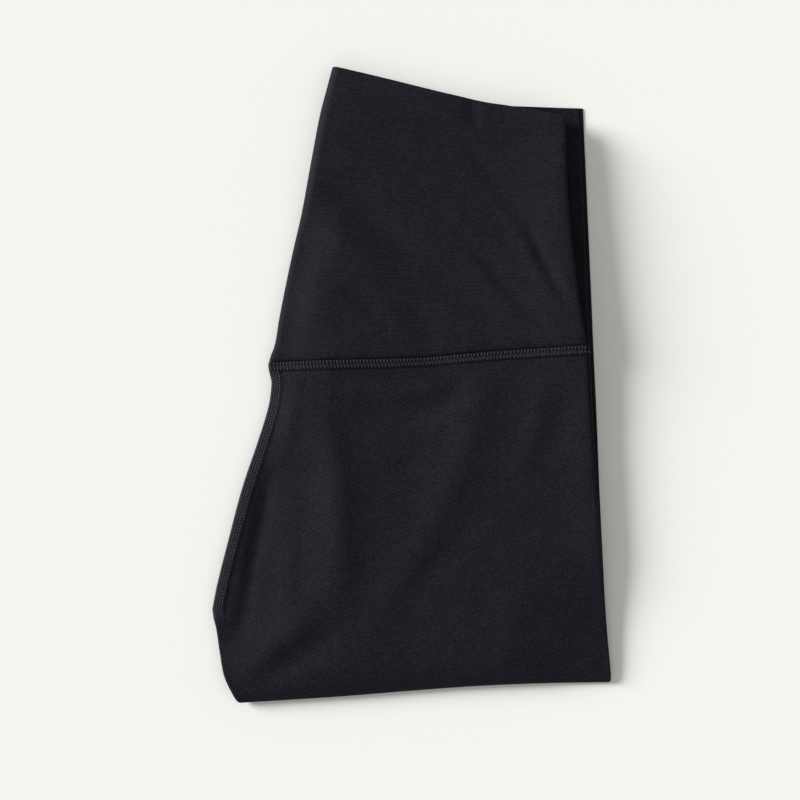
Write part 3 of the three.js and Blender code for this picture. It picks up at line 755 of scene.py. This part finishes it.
def cloth_points(s, from_left, lift):
    """Points just over the left leg's upper face, s below the waist seam and from_left in from its edge."""
    form = LegForm(s)
    x = (form.left + from_left * form.lean)[:, None]
    return form.place(x, -np.broadcast_to(lift, s.shape)[:, None])[:, 0]


def stitches(s, from_left, lift, s_step, left_step, half_length, radius):
    """Beads on the cloth, each pointing s_step down the leg and left_step in from the edge."""
    centres = cloth_points(s, from_left, lift)
    ahead = cloth_points(s + 0.05 * s_step, from_left + 0.05 * left_step, lift)
    along = unit(ahead - centres)
    up = np.array([0.0, 0.0, 1.0]) - along * along[:, 2:3]
    return beads(centres, along, unit(up), half_length, radius)


def waist_stitches(settings):
    """Two rows of short bars across the waist seam, with a fine thread lying along it between them."""
    pitch = settings.waist_pitch / MM
    width = waist_edge_width()
    across = np.arange(1.6, width - 0.8, pitch)
    wander = 0.14 * np.sin(across * 2.3) + 0.1 * np.sin(across * 5.1 + 1)
    rise = settings.seam_rise / MM + 0.12
    sets = []
    for row, centre in enumerate(WAIST_ROWS):
        place = across + 0.12 * np.sin(across * 3.7 + row)
        sets.append(stitches(centre + wander, place, rise, 1.0, 0.1, *WAIST_BAR))
    line = np.arange(1.2, width - 0.8, WAIST_LINE_PITCH)
    level = np.full(len(line), WAIST_LINE_ROW) + 0.08 * np.sin(line)
    sets.append(stitches(level, line, rise - 0.2, 0.1, 1.0, *WAIST_LINE_STITCH))
    return sets


def waist_edge_width():
    """Length of the waist seam along the upper face, from the centre edge to the side."""
    form = LegForm(np.array([2.5]))
    return float(form.right[0] - form.left[0])


def centre_stitches(settings):
    """Four rows of small slanted links down the centre back seam, each row leaning the other way."""
    pitch = settings.centre_pitch / MM
    s = np.arange(6.2, CENTRE_SEAM_LENGTH - 3, pitch)
    taper = seam_width(s) / SEAM_BAND
    rise = settings.seam_rise / MM + 0.1
    sets = []
    for row, centre in enumerate(CENTRE_ROWS):
        lean = CENTRE_LEAN if row % 2 else -CENTRE_LEAN
        place = centre * taper + 0.08 * np.sin(s * 2.9 + row)
        height = rise - 0.22 * np.clip(2.0 - place, 0, None) ** 2
        sets.append(stitches(s + 0.35 * row, place, height, 1.0, lean, *CENTRE_LINK))
    return sets


def hem_stitches(settings):
    """Two rows of stitches round each hem's lower face, a turned hem's depth from its end."""
    sets = []
    for above_end in HEM_ROWS:
        form = LegForm(np.array([LegForm.LENGTH - above_end]))
        x = np.arange(float(form.left[0]) + 4, float(form.right[0]) - 4, HEM_PITCH)
        u = (x - form.left[0]) / (form.right[0] - form.left[0])
        y = height_between(form.inner, form.under, fold_start, hem_line, u, form.down[0])
        centres = np.column_stack([x, y, np.full(len(x), 0.02)])
        along = np.tile([1.0, 0.0, 0.0], (len(x), 1))
        up = np.tile([0.0, 0.0, 1.0], (len(x), 1))
        sets.append(beads(centres, along, up, *HEM_STITCH))
    return sets


class Signal:
    """A shader socket whose arithmetic adds Math nodes."""

    def __init__(self, finish, socket):
        self.finish, self.socket = finish, socket

    def _math(self, operation, *values):
        node = self.finish.node("ShaderNodeMath", {"operation": operation}, dict(enumerate(values)))
        return Signal(self.finish, node.outputs[0])

    def __add__(self, other):
        return self._math("ADD", self, other)

    __radd__ = __add__

    def __sub__(self, other):
        return self._math("SUBTRACT", self, other)

    def __rsub__(self, other):
        return self._math("SUBTRACT", other, self)

    def __mul__(self, other):
        return self._math("MULTIPLY", self, other)

    __rmul__ = __mul__

    def abs(self):
        return self._math("ABSOLUTE", self)

    def sin(self):
        return self._math("SINE", self)

    def wave(self, pitch, phase=0.0):
        """0 to 1 and back once each pitch."""
        return (self * (2 * math.pi / pitch) + phase).sin() * 0.5 + 0.5

    def step(self, low, high):
        """An S-shaped step from 0 at low to 1 at high, which may be the smaller of the two."""
        settings = {"interpolation_type": "SMOOTHSTEP"}
        sockets = {"Value": self, "From Min": low, "From Max": high}
        if low > high:
            sockets = {"Value": self, "From Min": high, "From Max": low, "To Min": 1.0, "To Max": 0.0}
        return Signal(self.finish, self.finish.node("ShaderNodeMapRange", settings, sockets).outputs[0])


class Finish:
    """A material whose nodes are added by expressions."""

    def __init__(self, name):
        self.material = bpy.data.materials.new(name)
        self.material.use_nodes = True
        self.tree = self.material.node_tree
        self.shader = self.tree.nodes["Principled BSDF"]

    def node(self, kind, settings=None, sockets=None):
        """A new node with its settings, then its sockets' values or links, by name or number."""
        node = self.tree.nodes.new(kind)
        for name, value in (settings or {}).items():
            setattr(node, name, value)
        self.feed(node, sockets or {})
        return node

    def feed(self, node, sockets):
        for name, value in sockets.items():
            target = node.inputs[name]
            source = value.socket if isinstance(value, Signal) else value
            if isinstance(source, bpy.types.NodeSocket):
                self.tree.links.new(source, target)
            else:
                target.default_value = source

    def place(self):
        """The piece's own coordinates, in metres."""
        return self.node("ShaderNodeTexCoord").outputs["Object"]

    def cloth_place(self):
        """Metres round and along the cloth, as the two first parts of a vector."""
        return self.node("ShaderNodeUVMap", {"uv_map": "cloth"}).outputs["UV"]

    def part(self, vector):
        parts = self.node("ShaderNodeSeparateXYZ", None, {0: vector})
        return [Signal(self, out) for out in parts.outputs]

    def stretched(self, vector, scale, turn):
        """The vector turned about Z, then stretched."""
        sockets = {"Vector": vector, "Angle": turn}
        turned = self.node("ShaderNodeVectorRotate", {"rotation_type": "Z_AXIS"}, sockets)
        sockets = {0: turned.outputs[0], 1: scale}
        return self.node("ShaderNodeVectorMath", {"operation": "MULTIPLY"}, sockets).outputs[0]

    def noise(self, vector, scale, detail, roughness=0.5):
        sockets = {"Vector": vector, "Scale": scale, "Detail": detail, "Roughness": roughness}
        return Signal(self, self.node("ShaderNodeTexNoise", None, sockets).outputs[0])

    def specks(self, vector, scale):
        """Distance to the nearest of many scattered points, with a random number for each."""
        node = self.node("ShaderNodeTexVoronoi", None, {"Vector": vector, "Scale": scale})
        return Signal(self, node.outputs["Distance"]), self.part(node.outputs["Color"])[0]

    def mix(self, factor, first, second):
        """A colour between two others."""
        sockets = {"Factor": factor, 6: first, 7: second}
        return self.node("ShaderNodeMix", {"data_type": "RGBA"}, sockets).outputs[2]

    def bump(self, height, strength, distance, under=None):
        sockets = {"Height": height, "Strength": strength, "Distance": distance}
        if under is not None:
            sockets["Normal"] = under
        return self.node("ShaderNodeBump", None, sockets).outputs[0]


def rgba(colour, share=1.0):
    return tuple(c * share for c in colour) + (1.0,)


# The knit's darkest and lightest shares of its colour, and its lint
KNIT_DARK = 0.2
KNIT_LIGHT = (1.75, 1.75, 1.85)
LINT = (0.032, 0.03, 0.036)


def knit_finish(name, colour, line_pitch, line_turn, seam_holes_and_shade, gloss):
    """Fine knit: courses and wales in relief, drawn-out streaks, cloudy mottling and specks of lint. Along
    the seams it also darkens stitch holes and paints shade: a dark line in the groove beside the centre back
    seam and beneath the waist seam.
    """
    finish = Finish(name)
    cloth = finish.cloth_place()
    round_cloth, along_cloth = finish.part(cloth)[:2]
    lines = finish.part(finish.stretched(cloth, (1, 1, 1), line_turn))[1]
    wander = finish.noise(cloth, 60.0, 2.0) * 0.0012
    courses = (lines + wander).wave(line_pitch)
    streaks = finish.noise(finish.stretched(cloth, (130, 1400, 1), line_turn), 1.0, 3.0, 0.6)
    clouds = finish.noise(finish.place(), 70.0, 4.0, 0.6)
    broad = finish.noise(finish.place(), 14.0, 2.0)
    grain = finish.noise(finish.place(), 1200.0, 2.0, 0.8)
    flecks = finish.noise(finish.place(), 520.0, 2.0, 0.7)
    tone = 0.3 * courses + 0.9 * streaks + 0.9 * clouds + 0.5 * broad + 4.2 * grain + 2.7 * flecks
    shade = tone.step(3.65, 5.85)
    light = tuple(part * share for part, share in zip(colour, KNIT_LIGHT))
    cloth_colour = finish.mix(shade, rgba(colour, KNIT_DARK), rgba(light))
    near, lucky = finish.specks(finish.place(), 120.0)
    lint = near.step(0.07, 0.03) * lucky.step(0.955, 0.965)
    coloured = finish.mix(lint, cloth_colour, rgba(LINT))
    wales = (round_cloth + wander * 0.4).wave(0.00085)
    rows = (along_cloth + wander * 0.4).wave(0.0011)
    relief = wales * rows + 1.4 * grain + 0.8 * flecks + 0.35 * courses
    normal = finish.bump(relief, 0.45, 0.00028)
    normal = finish.bump(streaks + clouds, 0.35, 0.0005, normal)
    # Stitch marks along the seams, with painted shade in their grooves
    if seam_holes_and_shade:
        seam = finish.node("ShaderNodeAttribute", {"attribute_name": "seam"}).outputs["Vector"]
        reach, below_waist, hips = finish.part(seam)
        centre_part = hips.step(0.5, 0.9) * below_waist.step(5.4, 6.4)
        on_centre = reach.step(1.03, 0.97) * centre_part
        on_waist = below_waist.step(5.9, 5.5) * hips.step(0.0, 0.5)
        under_stitches = (on_centre + on_waist).step(0.0, 1.0)
        pulled = (below_waist + 0.3 * reach).wave(1.9).step(0.3, 0.7)
        beside = (reach - 1.1).abs().step(0.1, 0.03) * pulled * centre_part
        # A dotted dark line under the waist seam: stitch holes, and painted shade where the seam's groove
        # lies
        beneath = (below_waist - 6.25).abs().step(0.6, 0.2) * (round_cloth * 1000).wave(2.0).step(0.3, 0.7)
        # Painted shade: a dark line in the groove beside the centre back seam
        groove_shade = (reach - 1.1).abs().step(0.16, 0.04) * centre_part
        holes_and_shade = (beside * 0.3 + beneath * hips.step(0.0, 0.5) * 0.8 + groove_shade * 0.05).step(0.0, 1.0)
        coloured = finish.mix(under_stitches, coloured, rgba(colour, 1.1))
        coloured = finish.mix(on_centre, coloured, rgba(colour, 1.8))
        # Darkens the stitch holes and paints shade into the seam grooves
        coloured = finish.mix(holes_and_shade, coloured, rgba(colour, 0.1))
        normal = finish.bump(1 - holes_and_shade, 0.7, 0.0004, normal)
    finish.feed(finish.shader, {
        "Base Color": coloured,
        "Roughness": 0.72 + 0.2 * shade,
        "Normal": normal,
        "Specular IOR Level": gloss,
        "Sheen Weight": 0.02,
        "Sheen Roughness": 0.6,
        "Sheen Tint": rgba((0.75, 0.75, 0.9)),
    })
    return finish.material


def thread_finish(name, colour, share):
    """Twisted thread: fine plies across it, and small changes of tone from stitch to stitch round the
    colour's share. The share lightens or darkens a seam's thread as painted light or painted shade."""
    finish = Finish(name)
    tone = finish.noise(finish.place(), 500.0, 3.0, 0.7)
    ply = finish.noise(finish.place(), 3500.0, 1.0)
    coloured = finish.mix(tone.step(0.3, 0.7), rgba(colour, 0.5 * share), rgba(colour, 1.5 * share))
    finish.feed(finish.shader, {
        "Base Color": coloured,
        "Roughness": 0.6 + 0.25 * tone,
        "Normal": finish.bump(ply, 0.5, 0.0001),
        "Specular IOR Level": 0.35,
    })
    return finish.material


def floor_finish(name, colour):
    """Matt paper with a hardly visible unevenness."""
    finish = Finish(name)
    tone = finish.noise(finish.place(), 3.0, 2.0)
    finish.feed(finish.shader, {
        "Base Color": finish.mix(tone, rgba(colour, 0.995), rgba(colour)),
        "Roughness": 0.9,
        "Specular IOR Level": 0.1,
    })
    return finish.material


def length_property(name, description, default):
    return FloatProperty(name=name, description=description, default=default, min=0.0, unit="LENGTH",
                         subtype="DISTANCE", precision=5)


def colour_property(name, description, default):
    return FloatVectorProperty(name=name, description=description, default=default, subtype="COLOR", size=3,
                               min=0.0, max=1.0)


class LeggingsSewing(bpy.types.PropertyGroup):
    """Sizes of the seams and their stitches."""

    seam_rise: length_property("Seam rise", "How far the flat seams stand over the cloth", 0.00045)
    waist_pitch: length_property("Waist stitch pitch", "Distance between bars along the waist seam", 0.002)
    centre_pitch: length_property("Centre stitch pitch", "Distance between links down the back seam", 0.0018)
    top_step: length_property("Mesh step across", "Distance between columns on the upper face", 0.002)
    row_step: length_property("Mesh step along", "Distance between rows on the upper face", 0.002)


class LeggingsColours(bpy.types.PropertyGroup):
    """Colours of the cloth, the thread and the floor."""

    leg: colour_property("Leg knit", "Colour of the legs' cloth", (0.0091, 0.0075, 0.0121))
    band: colour_property("Waistband knit", "Colour of the waistband's cloth", (0.0093, 0.0075, 0.0114))
    thread: colour_property("Thread", "Colour of the stitches", (0.0265, 0.0228, 0.028))
    floor: colour_property("Floor", "Colour of the floor", (0.895, 0.887, 0.856))


class LeggingsPiece:
    """What every piece's operator does once its mesh is made."""

    bl_options = {"REGISTER", "UNDO"}

    def settle(self, piece, material, slot, nodes=()):
        if len(piece.data.polygons) == 0:
            raise RuntimeError(f"{piece.name} has no faces")
        piece.data.materials.append(material)
        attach(piece, "root")
        if nodes:
            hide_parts(*nodes)
        return piece


class LEGGINGS_OT_stage(bpy.types.Operator):
    """Camera, soft lights and a pale floor"""

    bl_idname = "leggings.stage"
    bl_label = "Stage"
    bl_options = {"REGISTER", "UNDO"}

    def execute(self, context):
        scene = context.scene
        camera = bpy.data.cameras.new("camera")
        camera.sensor_width = SENSOR_WIDTH
        camera.lens = LENS
        view = bpy.data.objects.new("camera", camera)
        view.location = VIEW_CENTRE + Vector((0, 0, VIEW_WIDTH * LENS / SENSOR_WIDTH))
        context.collection.objects.link(view)
        scene.camera = view
        scene.view_settings.view_transform = "Standard"
        for name, place, spread, power in LIGHTS:
            lamp = bpy.data.lights.new(name, "SUN")
            lamp.angle = math.radians(spread)
            lamp.energy = power
            light = bpy.data.objects.new(name, lamp)
            light.location = VIEW_CENTRE + Vector(place)
            light.rotation_euler = (-Vector(place)).to_track_quat("-Z", "Y").to_euler()
            context.collection.objects.link(light)
        world = bpy.data.worlds.new("soft light")
        world.use_nodes = True
        background = world.node_tree.nodes["Background"]
        background.inputs["Color"].default_value = (1.0, 0.99, 0.975, 1.0)
        background.inputs["Strength"].default_value = WORLD_STRENGTH
        scene.world = world
        corners = [
            (x * FLOOR_HALF, y * FLOOR_HALF, -FLOOR_DEPTH) for x, y in ((-1, -1), (1, -1), (1, 1), (-1, 1))
        ]
        mesh = bpy.data.meshes.new("floor")
        mesh.from_pydata(corners, [], [(0, 1, 2, 3)])
        floor = bpy.data.objects.new("floor", mesh)
        floor.data.materials.append(floor_finish("floor_paper", scene.leggings_colours.floor))
        context.collection.objects.link(floor)
        return {"FINISHED"}


class LEGGINGS_OT_legs(LeggingsPiece, bpy.types.Operator):
    """Both legs, each one panel of knit that wraps its side"""

    bl_idname = "leggings.legs"
    bl_label = "Legs"

    def execute(self, context):
        sewing, colours = context.scene.leggings_sewing, context.scene.leggings_colours
        steps = sewing.top_step / MM, sewing.row_step / MM
        knit = knit_finish("leg_knit_cloth", colours.leg, 0.0024, math.radians(-20), True, 0.12)
        left = leg_mesh("left_leg_cloth", False, 0.0, *steps, sewing.seam_rise / MM)
        self.settle(left, knit, "leg_knit", ["left_leg"])
        coarse = [RIGHT_LEG_STEP * step for step in steps]
        right = leg_mesh("right_leg_cloth", True, RIGHT_LEG_TUCK, *coarse, 0.0)
        self.settle(right, knit, "leg_knit", ["right_leg_and_inner_layers"])
        return {"FINISHED"}


class LEGGINGS_OT_waistband(LeggingsPiece, bpy.types.Operator):
    """The wide waistband of double knit"""

    bl_idname = "leggings.waistband"
    bl_label = "Waistband"

    def execute(self, context):
        sewing, colours = context.scene.leggings_sewing, context.scene.leggings_colours
        steps = sewing.top_step / MM, sewing.row_step / MM
        knit = knit_finish("waistband_knit_cloth", colours.band, 0.0024, 0.0, False, 0.12)
        band = band_mesh("waistband_cloth", *steps)
        self.settle(band, knit, "waistband_knit", ["waistband"])
        return {"FINISHED"}


class LEGGINGS_OT_sewing(LeggingsPiece, bpy.types.Operator):
    """Stitches of the waist seam, the centre back seam and the hems"""

    bl_idname = "leggings.sewing"
    bl_label = "Sewing"

    def execute(self, context):
        sewing, colours = context.scene.leggings_sewing, context.scene.leggings_colours
        # The shares paint light and shade: painted shade darkens the waist thread, and painted light
        # brightens the centre back thread, whose seam leans towards the light
        makers = (
            ("waist_stitches", waist_stitches, 0.88),
            ("centre_back_stitches", centre_stitches, 1.15),
            ("hem_stitches", hem_stitches, 1.0),
        )
        for name, make, share in makers:
            thread = thread_finish(f"{name}_thread", colours.thread, share)
            self.settle(thread_mesh(name, make(sewing)), thread, "leg_knit")
        return {"FINISHED"}


class LEGGINGS_PT_panel(bpy.types.Panel):
    """Lists the pieces of the leggings"""

    bl_idname = "LEGGINGS_PT_panel"
    bl_label = "Leggings"
    bl_space_type = "VIEW_3D"
    bl_region_type = "UI"
    bl_category = "Leggings"

    def draw(self, context):
        for group in (context.scene.leggings_sewing, context.scene.leggings_colours):
            for name in group.__annotations__:
                self.layout.prop(group, name)
        for operator in OPERATORS:
            self.layout.operator(operator.bl_idname)


OPERATORS = (LEGGINGS_OT_stage, LEGGINGS_OT_legs, LEGGINGS_OT_waistband, LEGGINGS_OT_sewing)
CLASSES = (LeggingsSewing, LeggingsColours, *OPERATORS, LEGGINGS_PT_panel)


def register():
    for kind in CLASSES:
        bpy.utils.register_class(kind)
    bpy.types.Scene.leggings_sewing = PointerProperty(type=LeggingsSewing)
    bpy.types.Scene.leggings_colours = PointerProperty(type=LeggingsColours)


def unregister():
    del bpy.types.Scene.leggings_colours
    del bpy.types.Scene.leggings_sewing
    for kind in reversed(CLASSES):
        bpy.utils.unregister_class(kind)


def main():
    register()
    bpy.ops.leggings.stage()
    bpy.ops.leggings.legs()
    bpy.ops.leggings.waistband()
    bpy.ops.leggings.sewing()


if __name__ == "__main__":
    main()
